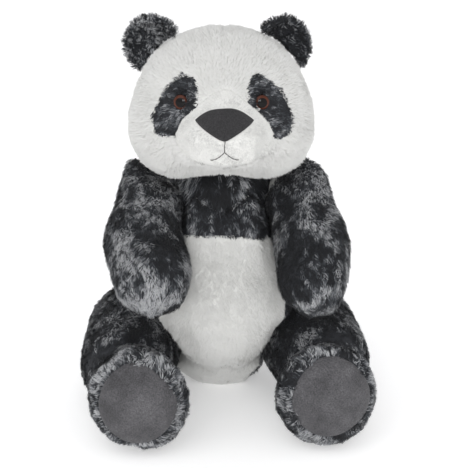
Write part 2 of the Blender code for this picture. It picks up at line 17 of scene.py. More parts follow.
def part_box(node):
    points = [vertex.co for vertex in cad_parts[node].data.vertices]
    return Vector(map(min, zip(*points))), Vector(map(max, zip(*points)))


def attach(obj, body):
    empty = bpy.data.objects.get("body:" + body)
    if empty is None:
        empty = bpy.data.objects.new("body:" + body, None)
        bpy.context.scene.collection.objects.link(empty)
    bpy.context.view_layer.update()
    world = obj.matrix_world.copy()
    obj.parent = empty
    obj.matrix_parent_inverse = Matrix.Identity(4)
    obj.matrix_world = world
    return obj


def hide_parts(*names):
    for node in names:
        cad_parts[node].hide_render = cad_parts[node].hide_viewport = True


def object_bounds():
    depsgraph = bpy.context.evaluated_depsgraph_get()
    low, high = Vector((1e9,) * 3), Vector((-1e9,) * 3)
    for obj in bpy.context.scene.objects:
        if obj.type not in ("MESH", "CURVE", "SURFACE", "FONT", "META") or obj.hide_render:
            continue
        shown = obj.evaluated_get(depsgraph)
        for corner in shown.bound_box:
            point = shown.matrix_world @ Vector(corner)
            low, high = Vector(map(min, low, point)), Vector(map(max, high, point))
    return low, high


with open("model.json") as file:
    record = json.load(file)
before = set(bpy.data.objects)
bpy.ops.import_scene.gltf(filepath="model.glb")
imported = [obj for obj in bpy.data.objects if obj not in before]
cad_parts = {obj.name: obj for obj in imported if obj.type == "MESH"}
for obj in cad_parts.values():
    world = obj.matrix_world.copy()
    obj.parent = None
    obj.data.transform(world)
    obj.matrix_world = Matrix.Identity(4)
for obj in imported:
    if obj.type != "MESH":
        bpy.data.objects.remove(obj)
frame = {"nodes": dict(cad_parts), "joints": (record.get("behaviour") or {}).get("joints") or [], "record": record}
CAD_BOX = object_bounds()
NODES = frame["nodes"]
SCENE = bpy.context.scene

FINE = 0.0025  # voxel of the swelled cloth on the head, whose features are small
COARSE = 0.0035  # and on the rest
SEAM_REACH = 0.0085  # how far from a seam the cloth is still held down by it
SWELL = 0.0022  # furthest that the filling pushes the cloth out between its seams
SWELL_FRAMES = 16  # by which the simulated cloth has come to rest
CLOTH_FACES = 0.3  # share of its faces that the cloth keeps, as the pile hides it
CLOTH = 0.0010  # thickness of the backing that the pile grows from
ROOTED = 0.0012  # how deep a strand starts below the surface
FLOOR_GAP = 0.0003  # the pile lies flat on the floor and not through it

# Pile: strands in a square millimetre, length, width and lift (1 stands up, 0 lies flat).
PILES = {
    "body": {"density": 1.45, "length": 0.0056, "width": 0.00064, "lift": 0.34, "clump": 0.48},
    "ear": {"density": 2.2, "length": 0.0070, "width": 0.00056, "lift": 0.60, "clump": 0.48},
    "patch": {"density": 2.4, "length": 0.0044, "width": 0.00052, "lift": 0.34, "clump": 0.40},
    "head": {"density": 2.0, "length": 0.0050, "width": 0.00068, "lift": 0.40, "clump": 0.08},
    "muzzle": {"density": 3.2, "length": 0.0026, "width": 0.00054, "lift": 0.36, "clump": 0.05},
    "belly": {"density": 1.7, "length": 0.0046, "width": 0.00066, "lift": 0.38, "clump": 0.16},
}
DARK_MOTTLE, WHITE_MOTTLE = 1.0, 0.08  # how much neighbouring dark or white strands differ
MUZZLE_SHADE = 0.42  # how much darker the muzzle is than the head, on the same scale
FACING = 0.42  # how far a strand is lit by its own direction instead of the surface's
CLUMP_GAP = 0.0031  # between the middles of neighbouring tufts


# ---------------------------------------------------------------- small maths


def unit(rows):
    return rows / np.maximum(np.linalg.norm(rows, axis=1, keepdims=True), 1e-12)


def dot(a, b):
    return np.sum(a * b, axis=1, keepdims=True)


def smooth_step(low, high, value):
    share = np.clip((value - low) / (high - low), 0.0, 1.0)
    return share * share * (3.0 - 2.0 * share)


def lattice(cells, seed):
    """A repeatable number from 0 to 1 for each whole-numbered cell."""
    mixed = cells @ np.array([127.1, 311.7, 74.7]) + seed * 19.19
    return np.mod(np.sin(mixed) * 43758.5453, 1.0)


def noise(points, size, seed=0):
    """Smooth noise from 0 to 1 with features of that size."""
    scaled = points / size
    cell = np.floor(scaled)
    part = scaled - cell
    part = part * part * (3.0 - 2.0 * part)
    total = np.zeros(len(points))
    for corner in range(8):
        step = np.array([corner & 1, corner >> 1 & 1, corner >> 2 & 1])
        weight = np.prod(np.where(step, part, 1.0 - part), axis=1)
        total += weight * lattice(cell + step, seed)
    return total


def drift(points, size, seed):
    """A smooth direction field, each part from -1 to 1."""
    return np.stack([2.0 * noise(points, size, seed + k) - 1.0 for k in range(3)], axis=1)


# ---------------------------------------------------------------- meshes


def vertices_of(mesh, what="co"):
    found = np.zeros(len(mesh.vertices) * 3, np.float32)
    mesh.vertices.foreach_get(what, found)
    return found.reshape(-1, 3).astype(float)


def normals_of(mesh):
    return vertices_of(mesh, "normal")


def place_vertices(mesh, points):
    mesh.vertices.foreach_set("co", points.astype(np.float32).ravel())
    mesh.update()


def link(name, data):
    made = bpy.data.objects.new(name, data)
    SCENE.collection.objects.link(made)
    return made


def aimed(name, data, towards, axis):
    """A lamp or camera turned so that its own axis points that way."""
    made = link(name, data)
    made.rotation_mode = "QUATERNION"
    made.rotation_quaternion = Vector(towards).to_track_quat(axis, "Y")
    return made


def built(bm, name):
    """The finished smooth object of a bmesh."""
    mesh = bpy.data.meshes.new(name)
    bm.to_mesh(mesh)
    bm.free()
    mesh.shade_smooth()
    return link(name, mesh)


def settle(made):
    """Applies the modifiers to the mesh."""
    graph = bpy.context.evaluated_depsgraph_get()
    mesh = bpy.data.meshes.new_from_object(made.evaluated_get(graph))
    made.modifiers.clear()
    old = made.data
    made.data = mesh
    bpy.data.meshes.remove(old)
    return made


def largest_part(mesh):
    """Drops the closed shells that line the hollows inside."""
    bm = bmesh.new()
    bm.from_mesh(mesh)
    unseen = set(bm.verts)
    parts = []
    while unseen:
        start = unseen.pop()
        part, front = [start], [start]
        while front:
            for edge in front.pop().link_edges:
                for vertex in edge.verts:
                    if vertex in unseen:
                        unseen.discard(vertex)
                        part.append(vertex)
                        front.append(vertex)
        parts.append(part)
    parts.sort(key=len)
    for part in parts[:-1]:
        bmesh.ops.delete(bm, geom=part, context="VERTS")
    bm.to_mesh(mesh)
    bm.free()
    mesh.update()


def around(name, nodes, voxel, smoothing):
    """One closed surface around several CAD nodes."""
    bm = bmesh.new()
    for node in nodes:
        bm.from_mesh(NODES[node].data)
    mesh = bpy.data.meshes.new(name)
    bm.to_mesh(mesh)
    bm.free()
    made = link(name, mesh)
    remesh = made.modifiers.new("voxels", "REMESH")
    remesh.mode = "VOXEL"
    remesh.voxel_size = voxel
    settle(made)
    largest_part(made.data)
    soften = made.modifiers.new("soften", "SMOOTH")
    soften.factor = 0.5
    soften.iterations = smoothing
    return settle(made)


def tree_of(mesh):
    corners = [tuple(p.vertices) for p in mesh.polygons]
    return BVHTree.FromPolygons([v.co for v in mesh.vertices], corners)


def nearest_skins(points, skins):
    """For each point, which CAD skin is nearest and how far the next one is."""
    trees = [tree_of(NODES[skin].data) for skin in skins]
    found = np.full((len(points), max(len(skins), 2)), 1.0)
    for k, tree in enumerate(trees):
        found[:, k] = [tree.find_nearest(Vector(p))[3] for p in points]
    which = np.argmin(found, axis=1)
    ordered = np.sort(found, axis=1)
    return which, ordered[:, 0], ordered[:, 1]


def swell(made, held):
    """Blows the cloth out from inside by simulation, held down by weight along its seams."""
    rest = vertices_of(made.data)
    group = made.vertex_groups.new(name="held")
    for index, weight in enumerate(held):
        if weight > 0.01:
            group.add([index], float(weight), "REPLACE")
    cloth = made.modifiers.new("cloth", "CLOTH")
    settings = cloth.settings
    settings.quality = 5
    settings.mass = 0.2
    settings.use_pressure = True
    settings.uniform_pressure_force = 4.0
    settings.tension_stiffness = 12.0
    settings.compression_stiffness = 12.0
    settings.bending_stiffness = 0.6
    settings.vertex_group_mass = "held"
    settings.effector_weights.gravity = 0.0
    cloth.point_cache.frame_start = 1
    cloth.point_cache.frame_end = SWELL_FRAMES
    for step in range(1, SWELL_FRAMES + 1):
        SCENE.frame_set(step)
    settle(made)
    moved = vertices_of(made.data) - rest
    far = np.linalg.norm(moved, axis=1, keepdims=True)
    moved *= np.minimum(1.0, SWELL / np.maximum(far, 1e-9))
    place_vertices(made.data, rest + moved)
    SCENE.frame_set(1)
    made.vertex_groups.clear()


# ---------------------------------------------------------------- pile


def sample(mesh, density, seed):
    """Points spread over the mesh, with the surface's direction at each."""
    mesh.calc_loop_triangles()
    corners = np.zeros(len(mesh.loop_triangles) * 3, np.int32)
    mesh.loop_triangles.foreach_get("vertices", corners)
    corners = corners.reshape(-1, 3)
    points, normals = vertices_of(mesh), normals_of(mesh)
    a, b, c = (points[corners[:, k]] for k in range(3))
    areas = np.linalg.norm(np.cross(b - a, c - a), axis=1) / 2.0
    random = np.random.default_rng(seed)
    count = int(areas.sum() * 1e6 * density)
    picked = random.choice(len(areas), count, p=areas / areas.sum())
    u, v = random.random(count), random.random(count)
    over = u + v > 1.0
    u[over], v[over] = 1.0 - u[over], 1.0 - v[over]
    w = 1.0 - u - v
    weights = np.stack([w, u, v], axis=1)[:, :, None]
    chosen = corners[picked]
    roots = np.sum(points[chosen] * weights, axis=1)
    return roots, unit(np.sum(normals[chosen] * weights, axis=1))


def combed(normals, direction, lift):
    """The way a strand leans: along the surface by the comb, and outward by its lift."""
    flat = unit(direction - normals * dot(direction, normals))
    return unit(flat * (1.0 - lift) + normals * lift)


def tuft(roots, tips, clump, seed):
    """Draws each tip towards that of the tuft it belongs to."""
    random = np.random.default_rng(seed)
    wanted = max(int(clump["area"] / (CLUMP_GAP * CLUMP_GAP)), 1)
    heads = random.permutation(len(roots))[:wanted]
    tree = KDTree(len(heads))
    for index, head in enumerate(heads):
        tree.insert(roots[head], index)
    tree.balance()
    owner = np.array([tree.find(point)[1] for point in roots])
    goal = tips[heads[owner]]
    return tips + (goal - tips) * clump["pull"], random.random(len(heads))[owner]


def strand_mesh(name, roots, bends, tips, normals, widths, frost_and_shade, seed):
    """Two-jointed flat strands as one mesh: a four-sided stem and a three-sided tip each."""
    random = np.random.default_rng(seed)
    count = len(roots)
    along = unit(tips - roots)
    across = unit(np.cross(normals, along) + 1e-6)
    roll = (random.random((count, 1)) - 0.5) * 1.1
    across = unit(across * np.cos(roll) + np.cross(along, across) * np.sin(roll))
    half = across * widths[:, None] / 2.0
    points = np.empty((count, 5, 3))
    points[:, 0] = roots - half
    points[:, 1] = roots + half
    points[:, 2] = bends + half * 0.85
    points[:, 3] = bends - half * 0.85
    points[:, 4] = tips
    facing = np.cross(points[:, 1] - points[:, 0], points[:, 3] - points[:, 0])
    wrong = (dot(facing, normals) < 0.0)[:, 0]
    points[wrong] = points[wrong][:, [1, 0, 3, 2, 4]]
    facing = unit(np.where(wrong[:, None], -facing, facing))

    first = np.arange(count)[:, None] * 5
    loops = (first + np.array([0, 1, 2, 3, 3, 2, 4])).ravel()
    starts = (np.arange(count)[:, None] * 7 + np.array([0, 4])).ravel()
    mesh = bpy.data.meshes.new(name)
    mesh.vertices.add(count * 5)
    mesh.vertices.foreach_set("co", points.astype(np.float32).ravel())
    mesh.loops.add(count * 7)
    mesh.loops.foreach_set("vertex_index", loops.astype(np.int32))
    mesh.polygons.add(count * 2)
    mesh.polygons.foreach_set("loop_start", starts.astype(np.int32))

    # the frost value holds the frosted tips and also painted shade: under the chin, on the chest, towards the body
    # on the limbs, and in the instep folds
    for title, values in (
        ("along", np.tile([0.0, 0.0, 0.55, 0.55, 1.0], count)),
        ("frost_and_shade", np.repeat(frost_and_shade, 5)),
    ):
        stored = mesh.attributes.new(title, "FLOAT", "POINT")
        stored.data.foreach_set("value", values.astype(np.float32))

    side = math.ceil(math.sqrt(count))
    cell = np.stack([np.arange(count) % side, np.arange(count) // side], axis=1)[:, None]
    shape = np.array([[0.15, 0.1], [0.85, 0.1], [0.85, 0.55], [0.15, 0.55], [0.5, 0.95]])
    spots = ((cell + shape) / side).reshape(-1, 2)
    uv = mesh.uv_layers.new(name="OFBake")
    uv.data.foreach_set("uv", spots[loops].astype(np.float32).ravel())
    mesh.update(calc_edges=True)
    mesh.shade_smooth()
    soft = unit(np.repeat(normals * (1.0 - FACING) + facing * FACING, 5, axis=0))
    mesh.normals_split_custom_set_from_vertices(soft.astype(np.float32))
    return link(name, mesh)


def grow(name, roots, normals, comb, pile, seed, frost_and_shade, mottle, gain, spread=0.30, raised=0.0):
    """Pile rooted at those points: combed, uneven in length, and drawn into tufts."""
    random = np.random.default_rng(seed)
    count = len(roots)
    jitter = random.normal(size=(count, 3))
    swirl = drift(roots, 0.014, seed + 40)
    direction = unit(comb) + swirl * 0.55 + jitter * spread
    length = pile["length"] * (0.72 + 0.5 * random.random(count))
    length *= (0.82 + 0.36 * noise(roots, 0.006, seed + 50)) * gain
    lift = pile["lift"] + 0.10 * random.normal(size=(count, 1)) + np.reshape(raised, (-1, 1))
    lift = np.clip(lift, 0.08, 0.95)
    low = roots - normals * ROOTED
    stem = combed(normals, direction, np.minimum(lift * 1.5, 0.95))
    bends = low + stem * (length * 0.5)[:, None]
    tips = bends + combed(normals, direction, lift * 0.7) * (length * 0.5)[:, None]
    clump = {"area": count / (pile["density"] * 1e6), "pull": pile["clump"]}
    tips, tuft_tone = tuft(low, tips, clump, seed + 7)
    for points in (low, bends, tips):
        points[:, 2] = np.maximum(points[:, 2], FLOOR_GAP)
    widths = pile["width"] * (0.75 + 0.5 * random.random(count))
    frost_and_shade = frost_and_shade + mottle * (0.5 * tuft_tone + 0.5 * random.random(count) - 0.5)
    return strand_mesh(name, low, bends, tips, normals, widths, frost_and_shade, seed + 9)


# ---------------------------------------------------------------- materials


def shader_of(material):
    return material.node_tree.nodes["Principled BSDF"]


def new_material(name, colour, roughness, sheen=0.0, coat=0.0):
    material = bpy.data.materials.new(name)
    material.use_nodes = True
    shader = shader_of(material)
    shader.inputs["Base Color"].default_value = (*colour, 1.0)
    shader.inputs["Roughness"].default_value = roughness
    shader.inputs["Sheen Weight"].default_value = sheen
    shader.inputs["Sheen Roughness"].default_value = 0.5
    shader.inputs["Coat Weight"].default_value = coat
    shader.inputs["Coat Roughness"].default_value = 0.03
    return material


def node(material, kind, inputs=None, **settings):
    made = material.node_tree.nodes.new(kind)
    for key, value in settings.items():
        setattr(made, key, value)
    for key, value in (inputs or {}).items():
        if isinstance(value, bpy.types.NodeSocket):
            material.node_tree.links.new(value, made.inputs[key])
        else:
            made.inputs[key].default_value = value
    return made


def fact(material, title):
    return node(material, "ShaderNodeAttribute", attribute_name=title).outputs["Fac"]


def ramp(material, value, stops):
    """A colour ramp over the value, its stops given as (place, colour)."""
    made = node(material, "ShaderNodeValToRGB", {"Fac": value})
    bands = made.color_ramp.elements
    while len(bands) < len(stops):
        bands.new(0.5)
    for band, (place, colour) in zip(bands, stops):
        band.position = place
        band.color = (*colour, 1.0)
    return made.outputs["Color"]


def mixed(material, share, first, second, blend="MIX"):
    made = node(material, "ShaderNodeMix", data_type="RGBA", blend_type=blend)
    for socket, value in ((0, share), (6, first), (7, second)):
        if isinstance(value, bpy.types.NodeSocket):
            material.node_tree.links.new(value, made.inputs[socket])
        elif socket:
            made.inputs[socket].default_value = (*value, 1.0)
        else:
            made.inputs[socket].default_value = value
    return made.outputs[2]


def paint(material, colour):
    material.node_tree.links.new(colour, shader_of(material).inputs["Base Color"])
    return material


def object_noise(material, scale, detail=4.0, roughness=0.6):
    place = node(material, "ShaderNodeTexCoord").outputs["Object"]
    made = node(
        material,
        "ShaderNodeTexNoise",
        {"Vector": place, "Scale": scale, "Detail": detail, "Roughness": roughness},
    )
    return made.outputs["Fac"]


def bump(material, height, distance, strength=0.6):
    made = node(
        material, "ShaderNodeBump", {"Height": height, "Distance": distance, "Strength": strength}
    )
    material.node_tree.links.new(made.outputs["Normal"], shader_of(material).inputs["Normal"])


def dark_pile_material():
    """Charcoal strands, near black at the root, with frosted blotches of pale tips. The darkening towards the root
    is partly the dyed root and partly painted shade in the depth of the pile.
    """
    material = new_material("dark_pile", (0.07, 0.075, 0.085), 0.8, 0.04)
    tone = ramp(
        material,
        fact(material, "frost_and_shade"),
        [
            (0.0, (0.009, 0.010, 0.013)),
            (0.28, (0.022, 0.025, 0.031)),
            (0.52, (0.085, 0.093, 0.105)),
            (0.78, (0.28, 0.29, 0.305)),
            (1.0, (0.54, 0.55, 0.56)),
        ],
    )
    # painted shade in the depth of the pile, together with the dyed root: each strand darkens towards its root
    shade = ramp(
        material,
        fact(material, "along"),
        [(0.0, (0.20, 0.20, 0.22)), (0.55, (0.60, 0.60, 0.61)), (1.0, (1.0, 1.0, 1.0))],
    )
    return paint(material, mixed(material, 1.0, tone, shade, "MULTIPLY"))


def white_pile_material():
    """Off-white strands, a little darker from tuft to tuft, with painted shade in the depth of the pile."""
    material = new_material("white_pile", (0.80, 0.80, 0.79), 0.8, 0.2)
    tone = ramp(
        material,
        fact(material, "frost_and_shade"),
        [
            (0.0, (0.53, 0.53, 0.52)),
            (0.3, (0.67, 0.67, 0.655)),
            (0.5, (0.69, 0.69, 0.675)),
            (1.0, (0.72, 0.72, 0.71)),
        ],
    )
    # painted shade in the depth of the pile: each strand darkens a little towards its root
    shade = ramp(
        material,
        fact(material, "along"),
        [(0.0, (0.93, 0.93, 0.93)), (0.5, (0.98, 0.98, 0.98)), (1.0, (1.0, 1.0, 1.0))],
    )
    return paint(material, mixed(material, 1.0, tone, shade, "MULTIPLY"))


def backing_material(name, dark, light):
    """The knitted backing that the pile grows from."""
    material = new_material(name, light, 0.95)
    fleck = object_noise(material, 900.0, 2.0)
    bump(material, fleck, 0.0004)
    return paint(material, ramp(material, fleck, [(0.3, dark), (0.7, light)]))


def velour_material(name, dark, light, blotch):
    """Charcoal velour: a fine grainy nap, brushed lighter and darker in soft patches."""
    material = new_material(name, light, 0.9, 0.06)
    patches = object_noise(material, blotch, 3.0)
    nap = object_noise(material, 900.0, 3.0, 0.8)
    broad = ramp(material, patches, [(0.32, dark), (0.68, light)])
    fine = ramp(material, nap, [(0.36, (0.52, 0.52, 0.52)), (0.64, (1.35, 1.35, 1.35))])
    bump(material, nap, 0.0006, 0.8)
    return paint(material, mixed(material, 1.0, broad, fine, "MULTIPLY"))


def thread_material(name, dark, light):
    material = new_material(name, light, 0.6, 0.2)
    fleck = object_noise(material, 1800.0, 2.0)
    bump(material, fleck, 0.0002)
    return paint(material, ramp(material, fleck, [(0.35, dark), (0.65, light)]))


def eye_material():
    """Black pupil, reddish-brown ring and black rim under polish, by distance from the middle."""
    material = new_material("eye", (0.02, 0.01, 0.008), 0.06)
    shader_of(material).inputs["Specular IOR Level"].default_value = 0.20
    streak = node(
        material,
        "ShaderNodeTexNoise",
        {"Vector": node(material, "ShaderNodeTexCoord").outputs["Object"], "Scale": 1500.0},
    ).outputs["Fac"]
    band = ramp(
        material,
        fact(material, "reach"),
        [
            (0.0, (0.004, 0.003, 0.003)),
            (0.58, (0.003, 0.002, 0.002)),
            (0.66, (0.085, 0.024, 0.012)),
            (0.88, (0.070, 0.018, 0.009)),
            (0.95, (0.006, 0.004, 0.003)),
        ],
    )
    fibre = ramp(material, streak, [(0.3, (0.7, 0.7, 0.7)), (0.7, (1.0, 1.0, 1.0))])
    return paint(material, mixed(material, 1.0, band, fibre, "MULTIPLY"))


DARK_PILE = dark_pile_material()
WHITE_PILE = white_pile_material()
DARK_BACKING = backing_material("dark_backing", (0.010, 0.011, 0.013), (0.030, 0.032, 0.038))
WHITE_BACKING = backing_material("white_backing", (0.64, 0.64, 0.62), (0.70, 0.70, 0.68))
NOSE_VELOUR = velour_material("nose_velour", (0.018, 0.0175, 0.019), (0.025, 0.024, 0.026), 90.0)
SOLE_VELOUR = velour_material("sole_velour", (0.048, 0.047, 0.051), (0.095, 0.093, 0.099), 48.0)
DARK_THREAD = thread_material("dark_thread", (0.010, 0.008, 0.008), (0.035, 0.028, 0.026))
EYE = eye_material()
FIBRE = backing_material("fibre", (0.72, 0.72, 0.70), (0.88, 0.88, 0.86))
POUCH = backing_material("pouch_cloth", (0.45, 0.42, 0.36), (0.60, 0.57, 0.50))
WASHER = new_material("washer_plastic", (0.75, 0.75, 0.72), 0.45)
paint(
    WASHER,
    ramp(WASHER, object_noise(WASHER, 400.0), [(0.3, (0.70, 0.70, 0.67)), (0.7, (0.78, 0.78, 0.75))]),
)


def wear(made, material):
    made.data.materials.clear()
    made.data.materials.append(material)
    return made


def dress(made, body, slot, material, *replaced):
    """Gives a visible piece its material, its body and the CAD nodes that it stands in for."""
    wear(made, material)
    if replaced:
        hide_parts(*replaced)
    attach(made, body)
    return made


# ---------------------------------------------------------------- stuffed bodies


def crease(points, normals, depth, width, distance, share):
    """Pushes the cloth in along a line, given each point's distance from the line."""
    return points - normals * (depth * np.exp(-((distance / width) ** 2)) * share)[:, None]


def stuffed(name, nodes, skins, voxel, smoothing, shape=None):
    """A body's outer cloth: swelled between its seams, then refined and creased."""
    made = around(name, nodes, voxel, smoothing)
    points = vertices_of(made.data)
    _, _, seam = nearest_skins(points, skins)
    if len(skins) == 1:
        seam = np.full(len(points), 1.0)
    held = 1.0 - smooth_step(0.0015, SEAM_REACH, seam)
    held = np.maximum(held, 1.0 - smooth_step(0.0008, 0.004, points[:, 2]))
    swell(made, held)
    refine = made.modifiers.new("refine", "SUBSURF")
    refine.levels = 1
    settle(made)
    if shape:
        points = vertices_of(made.data)
        place_vertices(made.data, shape(points, normals_of(made.data)))
    made.data.shade_smooth()
    return made


def split(made, body, skins, surfaces):
    """Cuts the cloth into its sewn panels, one for each CAD skin."""
    mesh = made.data
    middles = np.zeros(len(mesh.polygons) * 3, np.float32)
    mesh.polygons.foreach_get("center", middles)
    which, _, _ = nearest_skins(middles.reshape(-1, 3), skins)
    for k, skin in enumerate(skins):
        bm = bmesh.new()
        bm.from_mesh(mesh)
        bm.faces.ensure_lookup_table()
        away = [bm.faces[i] for i in np.nonzero(which != k)[0]]
        bmesh.ops.delete(bm, geom=away, context="FACES")
        panel_mesh = bpy.data.meshes.new(skin + "_cloth")
        bm.to_mesh(panel_mesh)
        bm.free()
        panel = link(skin + "_cloth", panel_mesh)
        thin_out(panel)
        thick = panel.modifiers.new("thickness", "SOLIDIFY")
        thick.thickness = CLOTH
        thick.offset = -1.0
        settle(panel)
        panel.data.shade_smooth()
        dress(panel, body, slot_of(skin), surfaces[k], skin)


def thin_out(panel):
    """The cloth is hidden under its pile, so it keeps only a share of its faces."""
    panel.modifiers.new("fewer", "DECIMATE").ratio = CLOTH_FACES


def slot_of(name):
    for part in frame["record"]["subparts"]:
        if part["node"] == name:
            return part["material_slot"]
    raise ValueError(name)


def frosting(roots, comb, seed, amount=0.0):
    """How pale each strand's tip is: fine mottling, drawn out along the comb, broken by streaks."""
    flow = unit(comb)
    bent = roots + drift(roots, 0.013, seed + 3) * 0.006
    squeezed = bent - flow * dot(bent, flow) * 0.35
    broad = noise(roots, 0.024, seed + 31)
    blotch = noise(squeezed, 0.0085, seed)
    small = noise(squeezed, 0.0040, seed + 11)
    thin = roots - flow * dot(roots, flow) * 0.7
    streak = noise(thin, 0.0013, seed + 21)
    mix = 0.26 * broad + 0.36 * blotch + 0.24 * small + 0.14 * streak
    return (mix - 0.5) * 4.6 + 0.54 + amount


def centre_of(name):
    low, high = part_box(name)
    return (low + high) / 2.0


# ---------------------------------------------------------------- head

HEAD_SKINS = ["head_panel_left", "head_panel_right", "muzzle_skin", "left_eye_patch", "right_eye_patch"]
HEAD_NODES = HEAD_SKINS + ["head_stuffing"]
HEAD_NODES += [f"{s}_eye_{p}" for s in ("left", "right") for p in ("shank", "washer", "iris")]
FACE = centre_of("nose_patch")
MIDDLE_X = FACE.x
MOUTH_LOW, MOUTH_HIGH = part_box("mouth_stitch")


def eye_axis(side):
    iris = vertices_of(NODES[side + "_eye_iris"].data).mean(axis=0)
    shank = vertices_of(NODES[side + "_eye_shank"].data).mean(axis=0)
    return Vector(iris), Vector(iris - shank).normalized()


def from_eye(points, side):
    """How far each point is from the middle of the eye, measured in the eye's own plane."""
    middle, out = eye_axis(side)
    away = points - np.array(middle)
    return away - np.outer(away @ np.array(out), out)


def eye_radius(side):
    points = vertices_of(NODES[side + "_eye_iris"].data)
    return float(np.linalg.norm(from_eye(points, side), axis=1).max())


def mouth_path():
    """The stitched line as two strokes: down from the nose, and from corner to corner."""
    half = (MOUTH_HIGH.x - MOUTH_LOW.x) / 2.0
    fork = MOUTH_LOW.z + (MOUTH_HIGH.z - MOUTH_LOW.z) * 0.50
    upright = [(MIDDLE_X, z) for z in np.linspace(MOUTH_HIGH.z + 0.0015, fork, 7)]
    spread = []
    for share in np.linspace(-1.0, 1.0, 25):
        drop = (fork - MOUTH_LOW.z) * math.sin(abs(share) * math.pi / 2.0)
        spread.append((MIDDLE_X + half * 1.05 * share, fork - drop))
    return upright, spread


def on_head(tree, x, z):
    """The face's point straight behind (x, z), and its direction."""
    spot, normal, _, _ = tree.ray_cast(Vector((x, -0.4, z)), Vector((0.0, 1.0, 0.0)))
    return spot, normal


def head_comb(roots):
    """The pile flows outward from the muzzle over the whole head, and down at the cheeks."""
    start = np.array([MIDDLE_X, FACE.y - 0.01, FACE.z + 0.004])
    away = unit(roots - start)
    top = smooth_step(FACE.z + 0.01, FACE.z + 0.05, roots[:, 2])[:, None]
    down = np.array([0.0, 0.0, -0.45])
    return away + down * (1.0 - top)


def make_head():
    cloth = stuffed("head", HEAD_NODES, HEAD_SKINS, FINE, 8, head_shape)
    tree = tree_of(cloth.data)
    surfaces = [WHITE_BACKING, WHITE_BACKING, WHITE_BACKING, DARK_BACKING, DARK_BACKING]
    kinds = ["head", "head", "muzzle", "patch", "patch"]
    split(cloth, "head", HEAD_SKINS, surfaces)
    strokes = mouth_path()
    for k, skin in enumerate(HEAD_SKINS):
        pile = PILES[kinds[k]]
        roots, normals = sample(cloth.data, pile["density"], 100 + k)
        ragged = roots + drift(roots, 0.0065, 90) * 0.0034 * away_from_muzzle(roots)
        which, near, seam = nearest_skins(ragged, HEAD_SKINS)
        keep = (which == k) & (near < 0.009) & off_the_eyes(roots)
        if kinds[k] == "muzzle":
            keep &= off_the_nose(roots, 0.0006) & (mouth_distance(roots, strokes) > 0.0006)
        roots, normals, seam = roots[keep], normals[keep], seam[keep]
        comb = head_comb(roots)
        raised, mottle = 0.0, WHITE_MOTTLE
        if kinds[k] == "patch":
            low_down = smooth_step(FACE.z, FACE.z - 0.014, roots[:, 2])
            frost_and_shade = 0.6 * frosting(roots, comb, 130 + k) - 0.12
            if skin.startswith("left"):
                frost_and_shade = frost_and_shade + 0.55 * low_down * noise(roots, 0.006, 133)
            side = skin.split("_")[0]
            comb = brow_comb(roots, comb, side)
            raised, mottle = 0.38 * brow_share(roots, side), DARK_MOTTLE
            material, slot = DARK_PILE, "dark_plush"
            gain = 0.9 + 0.1 * smooth_step(0.0, 0.006, seam)
        else:
            frost_and_shade = 0.35 + 0.4 * noise(roots, 0.014, 140)
            if kinds[k] == "muzzle":
                frost_and_shade = frost_and_shade - MUZZLE_SHADE
            # painted shade under the chin: the white pile is darker low on the head
            frost_and_shade -= 0.25 * smooth_step(FACE.z - 0.022, FACE.z - 0.045, roots[:, 2])
            gain = 0.85 + 0.15 * smooth_step(0.0, 0.006, seam)
            material, slot = WHITE_PILE, "white_plush"
        name = skin + "_pile"
        made = grow(name, roots, normals, comb, pile, 160 + k, frost_and_shade, mottle, gain, raised=raised)
        dress(made, "head", slot, material)
    bpy.data.objects.remove(cloth)
    make_nose(tree)
    make_mouth(tree, strokes)
    for side in ("left", "right"):
        make_eye(side)


def away_from_muzzle(roots):
    """0 by the muzzle's seam, which is crisp, and 1 where the eye patches fade into the white."""
    low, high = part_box("muzzle_skin")
    half = (high - low) / 2.0
    middle = (high + low) / 2.0
    across = (roots[:, 0] - middle.x) / half.x
    upward = (roots[:, 2] - middle.z) / half.z
    return smooth_step(1.0, 1.35, np.hypot(across, upward))[:, None]


def head_shape(points, normals):
    """A shallow valley along the crown seam."""
    x = points[:, 0] - MIDDLE_X
    crown = smooth_step(FACE.z + 0.040, FACE.z + 0.052, points[:, 2])
    return crease(points, normals, 0.0011, 0.0028, x, crown)


def off_the_eyes(roots):
    clear = np.ones(len(roots), bool)
    for side in ("left", "right"):
        clear &= np.linalg.norm(from_eye(roots, side), axis=1) > eye_radius(side) * 0.96
    return clear


def brow_share(roots, side):
    """1 for the pile that hangs over the eye's upper edge, most on its inner side."""
    flat = from_eye(roots, side)
    far = np.linalg.norm(flat, axis=1)
    inner = -1.0 if side == "left" else 1.0
    height = (flat[:, 2] + 0.5 * inner * flat[:, 0]) / np.maximum(far, 1e-6)
    return smooth_step(0.25, 0.75, height) * (1.0 - smooth_step(0.0085, 0.0115, far))


def brow_comb(roots, comb, side):
    """Over the eye the pile lies down across its top edge."""
    share = brow_share(roots, side)[:, None]
    return unit(comb) * (1.0 - share) + np.array([0.0, -0.3, -1.0]) * share


def nose_outline(count=36):
    """A rounded shield: an arched crown from corner to corner, and sides drawn down to a point."""
    low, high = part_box("nose_patch")
    half = (high.x - low.x) / 2.0
    corner = low.z + (high.z - low.z) * 0.52
    points = []
    for i in range(count):
        x = math.cos(math.pi * i / count)
        points.append((MIDDLE_X + half * x, corner + (high.z - corner) * (1.0 - abs(x) ** 2.1)))
    for i in range(count):
        x = -math.cos(math.pi * i / count)
        fall = max(1.0 - (x * x + 0.006) ** 0.5, 0.0) ** 0.78
        points.append((MIDDLE_X + half * x, corner - (corner - low.z) * fall * 1.06))
    return points


